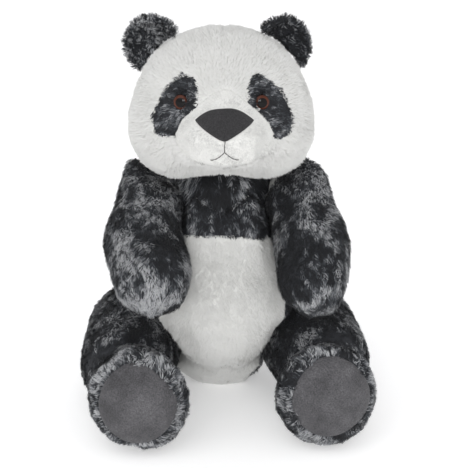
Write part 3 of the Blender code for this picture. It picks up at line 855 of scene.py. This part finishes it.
def inside(points, outline, grow_by):
    """Whether each (x, z) lies within the outline grown about its middle."""
    ring = np.array(outline)
    middle = ring.mean(axis=0)
    reach = np.linalg.norm(ring - middle, axis=1)
    angles = np.arctan2(ring[:, 1] - middle[1], ring[:, 0] - middle[0])
    order = np.argsort(angles)
    flat = points - middle
    found = np.arctan2(flat[:, 1], flat[:, 0])
    limit = np.interp(found, angles[order], reach[order], period=2.0 * math.pi)
    return np.linalg.norm(flat, axis=1) < limit + grow_by


def off_the_nose(roots, margin):
    front = roots[:, 1] < FACE.y + 0.02
    return ~(front & inside(roots[:, [0, 2]], nose_outline(), margin))


def mouth_distance(roots, strokes):
    found = np.full(len(roots), 1.0)
    for stroke in strokes:
        for (x0, z0), (x1, z1) in zip(stroke, stroke[1:]):
            a = np.array([x0, z0])
            along = np.array([x1, z1]) - a
            flat = roots[:, [0, 2]] - a
            share = np.clip(flat @ along / (along @ along), 0.0, 1.0)
            found = np.minimum(found, np.linalg.norm(flat - share[:, None] * along, axis=1))
    return np.where(roots[:, 1] < FACE.y + 0.03, found, 1.0)


def sewn_on(name, tree, outline, place, crown, rim, back):
    """A padded patch that follows the cloth under it: crowned in the middle, its edge turned in."""
    rings = 14
    ring = np.array(outline)
    middle = ring.mean(axis=0)
    bm = bmesh.new()
    layers = []
    for r in range(rings + 1):
        share = math.sin(r / rings * math.pi / 2.0)
        rise = rim + (crown - rim) * math.sqrt(max(1.0 - share**6, 0.0))
        layer = []
        for u, v in middle + (ring - middle) * share:
            layer.append(bm.verts.new(place(tree, u, v, rise)))
        layers.append(layer)
    under = [bm.verts.new(place(tree, u, v, -back)) for u, v in middle + (ring - middle) * 0.97]
    layers.append(under)
    count = len(outline)
    for inner, outer in zip(layers, layers[1:]):
        for i in range(count):
            j = (i + 1) % count
            bm.faces.new((inner[i], outer[i], outer[j], inner[j]))
    bm.faces.new(list(reversed(under)))
    bmesh.ops.remove_doubles(bm, verts=layers[0], dist=0.00002)
    bmesh.ops.recalc_face_normals(bm, faces=bm.faces)
    return built(bm, name)


def face_place(tree, x, z, rise):
    spot, normal = on_head(tree, x, z)
    return spot + normal * rise


def make_nose(tree):
    nose = sewn_on("nose", tree, nose_outline(), face_place, 0.0030, 0.0008, 0.0006)
    dress(nose, "head", "velour", NOSE_VELOUR, "nose_patch")


def tube(bm, path, radius, sides=8):
    """A closed round cord along the points, its ends drawn in."""
    rings = []
    count = len(path)
    for i, spot in enumerate(path):
        ahead = path[min(i + 1, count - 1)] - path[max(i - 1, 0)]
        turn = ahead.to_track_quat("Z", "Y").to_matrix()
        ends = math.sin(math.pi * (i + 0.35) / (count - 0.3))
        thick = radius * max(ends, 0.0) ** 0.35
        ring = []
        for k in range(sides):
            angle = 2.0 * math.pi * k / sides
            flat = Vector((math.cos(angle), math.sin(angle), 0.0))
            ring.append(bm.verts.new(spot + turn @ flat * thick))
        rings.append(ring)
    for first, second in zip(rings, rings[1:]):
        for k in range(sides):
            n = (k + 1) % sides
            bm.faces.new((first[k], first[n], second[n], second[k]))
    bm.faces.new(list(reversed(rings[0])))
    bm.faces.new(rings[-1])


def make_mouth(tree, strokes):
    """Each stitch is its own short run of thread, laid end to end along the mouth."""
    bm = bmesh.new()
    for stroke in strokes:
        line = np.array(stroke)
        steps = np.concatenate([[0.0], np.cumsum(np.linalg.norm(np.diff(line, axis=0), axis=1))])
        stitches = max(int(steps[-1] / 0.0030), 2)
        for k in range(stitches):
            ends = np.linspace(k / stitches - 0.004, (k + 1) / stitches + 0.004, 7) * steps[-1]
            path = []
            for place, at in zip(np.linspace(0.0, 1.0, 7), ends):
                x, z = np.interp(at, steps, line[:, 0]), np.interp(at, steps, line[:, 1])
                spot, normal = on_head(tree, x, z)
                path.append(spot + normal * (0.0004 + 0.0005 * math.sin(math.pi * place)))
            tube(bm, path, 0.00034)
    dress(built(bm, "mouth_threads"), "head", "thread", DARK_THREAD, "mouth_stitch")


def make_eye(side):
    """A polished domed eye with a rolled rim."""
    middle, out = eye_axis(side)
    radius = eye_radius(side)
    turn = out.to_track_quat("Z", "Y").to_matrix()
    segments = 48
    profile = []
    for k in range(15):
        angle = math.pi / 2.0 * k / 14
        profile.append((radius * math.sin(angle), 0.0006 + radius * 0.52 * math.cos(angle)))
    profile += [(radius, 0.0002), (radius * 0.97, -0.0005), (radius * 0.3, -0.0006)]
    bm = bmesh.new()
    reach = bm.verts.layers.float.new("reach")
    rings = []
    for r, h in profile:
        ring = []
        for s in range(segments if r > 1e-6 else 1):
            angle = 2.0 * math.pi * s / segments
            flat = Vector((r * math.cos(angle), r * math.sin(angle), h))
            vertex = bm.verts.new(middle + turn @ flat)
            vertex[reach] = r / radius
            ring.append(vertex)
        rings.append(ring)
    for first, second in zip(rings, rings[1:]):
        for s in range(segments):
            n = (s + 1) % segments
            if len(first) == 1:
                bm.faces.new((first[0], second[s], second[n]))
            else:
                bm.faces.new((first[s], second[s], second[n], first[n]))
    bm.faces.new(list(reversed(rings[-1])))
    bmesh.ops.recalc_face_normals(bm, faces=bm.faces)
    made = built(bm, side + "_eye")
    dress(made, "head", "eye_black", EYE, side + "_eye_lens", side + "_eye_iris")


# ---------------------------------------------------------------- ears


def make_ear(side):
    """Two layers of cloth in a cup, with long ragged pile that stands past the rim."""
    front, back = side + "_ear_front", side + "_ear_back"
    middle = np.array(centre_of(back))
    for k, skin in enumerate((front, back)):
        cloth = around(skin + "_cloth", [skin], 0.0013, 4)
        cloth.data.shade_smooth()
        dress(cloth, side + "_ear", "dark_plush", DARK_BACKING, skin)
        pile = PILES["ear"]
        roots, normals = sample(cloth.data, pile["density"], 200 + k)
        other = tree_of(NODES[back if k == 0 else front].data)
        apart = np.array([other.find_nearest(Vector(p))[3] for p in roots])
        facing = normals[:, 1] < -0.25 if k == 0 else normals[:, 1] > -0.5
        keep = facing & (apart > 0.0012)
        roots, normals = roots[keep], normals[keep]
        away = roots - middle
        away[:, 1] *= 0.3
        swirl = drift(roots, 0.010, 215)
        comb = unit(away) + swirl * 1.1 + np.array([0.0, -0.2, 0.35])
        rim = smooth_step(0.010, 0.022, np.linalg.norm(away, axis=1))
        gain = 0.62 + 0.30 * rim
        paler = 0.08 if side == "right" else -0.28
        frost_and_shade = frosting(roots, comb, 210 + k, paler)
        name = skin + "_pile"
        made = grow(name, roots, normals, comb, pile, 220 + k, frost_and_shade, DARK_MOTTLE, gain, 0.7)
        dress(made, side + "_ear", "dark_plush", DARK_PILE)


# ---------------------------------------------------------------- torso and tail

TORSO_SKINS = ["torso_panel_left", "torso_panel_right", "belly_panel"]
FROST_SEED = 302  # one pattern of mottling runs over the torso, neck and limbs


def grow_kind(cloth, skins, k, kind, body, comb_of, seed, tone, keep_more=None, fold_of=None):
    """The pile on one skin; tone says how pale it is, and fold_of where it lies in a crease, which shortens the
    pile and darkens it with painted shade.
    """
    pile = PILES[kind]
    roots, normals = sample(cloth.data, pile["density"], seed)
    which, near, seam = nearest_skins(roots, skins)
    keep = (which == k) & (near < 0.009) & (roots[:, 2] > 0.0012)
    if keep_more is not None:
        keep &= keep_more(roots, normals)
    roots, normals, seam = roots[keep], normals[keep], seam[keep]
    comb = comb_of(roots)
    gain = np.ones(len(roots))
    if len(skins) > 1:
        gain = 0.75 + 0.25 * smooth_step(0.0, 0.006, seam)
    gain *= 0.35 + 0.65 * smooth_step(0.001, 0.009, roots[:, 2])
    if kind == "belly":
        frost_and_shade = 0.35 + 0.4 * noise(roots, 0.014, seed)
        mottle, surface = WHITE_MOTTLE, WHITE_PILE
    else:
        frost_and_shade = frosting(roots, comb, FROST_SEED, tone(roots, normals))
        mottle, surface = DARK_MOTTLE, DARK_PILE
    if fold_of is not None:
        fold = fold_of(roots, normals)
        gain *= 1.0 - 0.5 * fold
        # painted shade in the crease: the pile is darker where it lies in the fold
        frost_and_shade = frost_and_shade - 0.6 * fold
    made = grow(skins[k] + "_pile", roots, normals, comb, pile, seed + 3, frost_and_shade, mottle, gain)
    dress(made, body, slot_of(skins[k]), surface)


def even_tone(roots, normals):
    return 0.0


def painted_side_light(roots, normals):
    """Painted light and shade by facing: paler on the outer and front sides of a limb, darker towards the body."""
    outward = normals[:, 0] * np.sign(roots[:, 0] - MIDDLE_X)
    return 0.02 + 0.16 * outward - 0.05 * normals[:, 1]


def chest_tone_and_shade(roots, normals):
    """A little darker all over, and darker still in front under the chin, which is painted shade."""
    front = smooth_step(0.3, -0.3, normals[:, 1])
    return -0.08 - 0.14 * smooth_step(0.170, 0.195, roots[:, 2]) * front


def make_torso():
    nodes = TORSO_SKINS + ["torso_stuffing", "bean_pouch"]
    cloth = stuffed("torso", nodes, TORSO_SKINS, COARSE, 8)
    split(cloth, "torso", TORSO_SKINS, [DARK_BACKING, DARK_BACKING, WHITE_BACKING])
    neck = centre_of("neck_stuffing")

    def comb_of(roots):
        away = roots - np.array([neck.x, neck.y, 0.0])
        away[:, 2] = 0.0
        return unit(away) * 0.25 + np.array([0.0, 0.0, -1.0])

    def outside(roots, normals):
        far = np.hypot(roots[:, 0] - neck.x, roots[:, 1] - neck.y)
        return (far > 0.031) | (roots[:, 2] < 0.165)

    for k, kind in enumerate(("body", "body", "belly")):
        grow_kind(cloth, TORSO_SKINS, k, kind, "torso", comb_of, 300 + 10 * k, chest_tone_and_shade, outside)
    tree = tree_of(cloth.data)
    bpy.data.objects.remove(cloth)
    make_closing(tree)


def make_neck():
    """The plush band between the chest and the chin."""
    cloth = around("neck_cloth", ["neck_skin", "neck_stuffing"], FINE, 4)
    place_vertices(cloth.data, vertices_of(cloth.data) + 0.0012 * normals_of(cloth.data))
    cloth.data.shade_smooth()
    dress(cloth, "neck", "dark_plush", DARK_BACKING, "neck_skin")
    pile = PILES["body"]
    roots, normals = sample(cloth.data, pile["density"], 450)
    low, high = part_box("neck_skin")
    keep = (normals[:, 2] < 0.8) & (roots[:, 2] > low.z + 0.004) & (roots[:, 2] < high.z + 0.004)
    roots, normals = roots[keep], normals[keep]
    comb = np.tile([0.0, 0.0, -1.0], (len(roots), 1)) + 0.5 * normals
    # painted shade under the chin, as on the chest
    frost_and_shade = frosting(roots, comb, FROST_SEED, chest_tone_and_shade(roots, normals))
    gain = 0.9 + 0.6 * smooth_step(low.z + 0.010, low.z + 0.024, roots[:, 2])
    made = grow("neck_pile", roots, normals, comb, pile, 452, frost_and_shade, DARK_MOTTLE, gain)
    dress(made, "neck", "dark_plush", DARK_PILE)


def make_closing(tree):
    """The ladder of hand stitches that closes the back, each one a slanted run of thread."""
    low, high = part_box("back_closing_stitch")
    x = (low.x + high.x) / 2.0
    bm = bmesh.new()
    count = 13
    for k in range(count):
        z = low.z + (high.z - low.z) * (k + 0.5) / count
        path = []
        for share in np.linspace(-1.0, 1.0, 9):
            start = Vector((x + share * 0.0026, 0.4, z + share * 0.0012))
            spot, normal, _, _ = tree.ray_cast(start, Vector((0.0, -1.0, 0.0)))
            path.append(spot + normal * (0.0004 + 0.0022 * math.cos(share * math.pi / 2.0)))
        tube(bm, path, 0.00055)
    dress(built(bm, "closing_threads"), "torso", "thread", DARK_THREAD, "back_closing_stitch")


def make_tail():
    cloth = stuffed("tail", ["tail_skin", "tail_stuffing"], ["tail_skin"], FINE, 4)
    split(cloth, "tail", ["tail_skin"], [WHITE_BACKING])

    def comb_of(roots):
        return np.tile([0.0, 0.6, -0.8], (len(roots), 1))

    grow_kind(cloth, ["tail_skin"], 0, "belly", "tail", comb_of, 400, even_tone)
    bpy.data.objects.remove(cloth)


# ---------------------------------------------------------------- limbs


# For each leg's fold over the instep: how far behind the sole, how much it slants towards the
# outer side, its depth and its half width.
INSTEP_FOLDS = {"left": (0.045, 0.12, 0.0012, 0.0060), "right": (0.042, 0.06, 0.0012, 0.0055)}


def joint_spot(name):
    for joint in frame["joints"]:
        if joint["name"] == name:
            return np.array(joint["pos_m"])
    raise ValueError(name)


def make_arm(side):
    skin = side + "_arm_skin"
    cloth = stuffed(side + "_arm", [skin, side + "_arm_stuffing"], [skin], COARSE, 8)
    split(cloth, side + "_arm", [skin], [DARK_BACKING])
    shoulder = joint_spot(side + "_arm_lift")
    low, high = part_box(skin)
    paw = np.array([(low.x + high.x) / 2.0, low.y + 0.03, low.z + 0.02])

    def comb_of(roots):
        flow = unit((paw - shoulder)[None, :])
        return np.tile(flow + np.array([0.0, 0.0, -0.35]), (len(roots), 1))

    seed = 500 if side == "left" else 520

    def tone(roots, normals):
        near = 1.0 - smooth_step(0.012, 0.040, np.linalg.norm(roots - paw, axis=1))
        # painted light and shade by facing, and darker near the paw
        return painted_side_light(roots, normals) - 0.22 * near

    grow_kind(cloth, [skin], 0, "body", side + "_arm", comb_of, seed, tone)
    bpy.data.objects.remove(cloth)


def make_leg(side):
    body = side + "_leg"
    skin, sole = body + "_skin", side + "_sole"
    low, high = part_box(sole)
    middle = (low + high) / 2.0
    hip = joint_spot(body + "_splay")
    points = vertices_of(NODES[sole].data)
    spread = points - points.mean(axis=0)
    facing = np.linalg.svd(spread, full_matrices=False)[2][2]
    facing = facing * -np.sign(facing[1])
    yaw = math.atan2(facing[0], -facing[1])
    out = Vector((math.sin(yaw), -math.cos(yaw), 0.0))
    across = Vector((math.cos(yaw), math.sin(yaw), 0.0))

    behind, slope, depth, width = INSTEP_FOLDS[side]

    def fold_line(spots, normals):
        """How near each point is to the fold over the instep, from 0 to 1."""
        away = spots - np.array(middle)
        sideways = away @ np.array(across) * (1.0 if side == "left" else -1.0)
        line = away @ np.array(out) + behind + slope * sideways + 0.002 * np.sin(spots[:, 0] * 90.0)
        top = smooth_step(-0.5, 0.2, normals[:, 2])
        return np.exp(-((line / width) ** 2)) * top

    def shape(spots, normals):
        return spots - normals * (depth * fold_line(spots, normals))[:, None]

    cloth = stuffed(body, [skin, sole, body + "_stuffing"], [skin, sole], COARSE, 8, shape)
    tree = tree_of(cloth.data)
    outline = sole_outline(sole, middle, across)

    def place(found, u, z, rise):
        start = middle + across * u + out * 0.1
        spot, normal, _, _ = found.ray_cast(Vector((start.x, start.y, z)), -out)
        if side == "left" and rise > 0.0:
            line = (u - 0.002 + (z - middle.z) * 0.12) / 0.0016
            reach = smooth_step(0.004, -0.004, z - middle.z) * smooth_step(-0.030, -0.022, z - middle.z)
            rise -= 0.0009 * math.exp(-line * line) * reach
        return spot + normal * rise

    pad = sewn_on(sole + "_velour", tree, outline, place, 0.0014, 0.0002, 0.0008)
    dress(pad, body, "velour", SOLE_VELOUR, sole)
    split_leg(cloth, body, skin)

    def comb_of(roots):
        forward = unit((np.array(middle) - hip)[None, :])
        around_sole = roots - np.array(middle)
        near = 1.0 - smooth_step(0.008, 0.030, -(around_sole @ np.array(out)))
        outward = around_sole - np.outer(around_sole @ np.array(out), out)
        lead = forward + np.array([0.0, 0.0, -0.5])
        swirl = drift(roots, 0.009, 77) * 1.2
        return lead * (1.0 - near)[:, None] + (unit(outward) + swirl) * near[:, None]

    def off_sole(roots, normals):
        away = roots - np.array(middle)
        seen = np.stack([away @ np.array(across), roots[:, 2]], axis=1)
        ragged = (noise(roots, 0.006, 79) - 0.5) * 0.003
        return ~(inside(seen, outline, -0.0010 + ragged) & (away @ np.array(out) > -0.02))

    seed = 600 if side == "left" else 640
    grow_kind(cloth, [skin], 0, "body", body, comb_of, seed, painted_side_light, off_sole, fold_line)
    bpy.data.objects.remove(cloth)


def sole_outline(sole, middle, across):
    """The sole's edge as seen from in front of it, smoothed into one closed curve."""
    points = vertices_of(NODES[sole].data)
    flat = [((Vector(p) - middle).dot(across), float(p[2])) for p in points]
    hull = np.array([flat[i] for i in convex_hull_2d([Vector(p) for p in flat])])
    centre = np.array([0.0, middle.z])
    angles = np.arctan2(hull[:, 1] - centre[1], hull[:, 0])
    order = np.argsort(angles)
    reach = np.linalg.norm(hull - centre, axis=1)[order]
    turns = np.linspace(0.0, 2.0 * math.pi, 96, endpoint=False)
    radii = np.interp(turns, angles[order], reach, period=2.0 * math.pi)
    waves = np.fft.rfft(radii)
    waves[5:] = 0.0
    radii = np.fft.irfft(waves, len(turns))
    radii += 0.0007 * np.cos(3.0 * turns + 0.6) + 0.0005 * np.cos(4.0 * turns)
    return [(r * math.cos(t), middle.z + r * math.sin(t)) for r, t in zip(radii, turns)]


def split_leg(cloth, body, skin):
    """The leg's cloth is one closed skin, which also runs behind the sole."""
    panel = link(skin + "_cloth", cloth.data.copy())
    thin_out(panel)
    settle(panel)
    dress(panel, body, "dark_plush", DARK_BACKING, skin)


# ---------------------------------------------------------------- what stays inside


def dress_inner_nodes():
    for name, made in NODES.items():
        if name.endswith("stuffing"):
            wear(made, FIBRE)
        elif name.endswith("washer"):
            wear(made, WASHER)
        elif name.endswith("shank"):
            wear(made, EYE)
    wear(NODES["bean_pouch"], POUCH)


# ---------------------------------------------------------------- light, floor and camera


def window_light(name, place, target, size, power):
    data = bpy.data.lights.new(name, "AREA")
    data.shape = "RECTANGLE"
    data.size, data.size_y = size
    data.energy = power
    made = aimed(name, data, Vector(target) - Vector(place), "-Z")
    made.location = place
    made.visible_camera = False


def studio_world():
    """White at the horizon, a little dimmer overhead."""
    world = bpy.data.worlds.new("studio")
    world.use_nodes = True
    nodes, links = world.node_tree.nodes, world.node_tree.links
    place = nodes.new("ShaderNodeTexCoord")
    split_up = nodes.new("ShaderNodeSeparateXYZ")
    bands = nodes.new("ShaderNodeValToRGB")
    links.new(place.outputs["Generated"], split_up.inputs["Vector"])
    links.new(split_up.outputs["Z"], bands.inputs["Fac"])
    low, high = bands.color_ramp.elements
    low.position, low.color = 0.15, (0.96, 0.96, 0.96, 1.0)
    high.position, high.color = 0.70, (0.62, 0.62, 0.63, 1.0)
    links.new(bands.outputs["Color"], nodes["Background"].inputs["Color"])
    return world


def soft_sun(name, towards, strength, softness):
    """Even light from one side, so the floor doesn't darken with distance."""
    data = bpy.data.lights.new(name, "SUN")
    data.energy = strength
    data.angle = math.radians(softness)
    aimed(name, data, towards, "Z")


def make_studio():
    low, high = CAD_BOX
    middle = (low + high) / 2.0
    mesh = bpy.data.meshes.new("floor")
    reach = 6.0
    corners = [(-reach, -reach, 0), (reach, -reach, 0), (reach, reach, 0), (-reach, reach, 0)]
    mesh.from_pydata([Vector(c) for c in corners], [], [(0, 1, 2, 3)])
    floor = link("floor", mesh)
    paper = new_material("floor", (0.90, 0.90, 0.90), 0.95)
    shader_of(paper).inputs["Emission Color"].default_value = (1.0, 1.0, 1.0, 1.0)
    shader_of(paper).inputs["Emission Strength"].default_value = 0.30
    wear(floor, paper)
    SCENE.world = studio_world()
    soft_sun("key", (-0.45, -0.75, 1.0), 0.75, 60.0)
    soft_sun("fill", (0.7, -0.6, 0.7), 0.20, 80.0)
    for side in (-1, 1):
        place = (middle.x + 0.05 + side * 0.17, -1.55, 0.62)
        window_light(f"window_{side}", place, (middle.x, middle.y, 0.26), (0.24, 0.36), 3.3)
    SCENE.view_settings.view_transform = "Standard"
    SCENE.view_settings.look = "None"


def make_camera():
    """The photographed viewpoint: 22 degrees above the horizon, one metre away."""
    elevation = math.radians(22.0)
    distance = 1.0
    data = bpy.data.cameras.new("camera")
    data.sensor_fit = "VERTICAL"
    data.sensor_height = 24.0
    data.lens = 60.9
    aim = Vector((-0.0016, 0.0053, 0.150))
    back = Vector((0.0, -math.cos(elevation), math.sin(elevation)))
    camera = aimed("camera", data, -back, "-Z")
    camera.location = aim + back * distance
    SCENE.camera = camera


make_camera()
make_studio()
make_head()
make_torso()
make_neck()
make_tail()
for word in ("left", "right"):
    make_ear(word)
    make_arm(word)
    make_leg(word)
dress_inner_nodes()
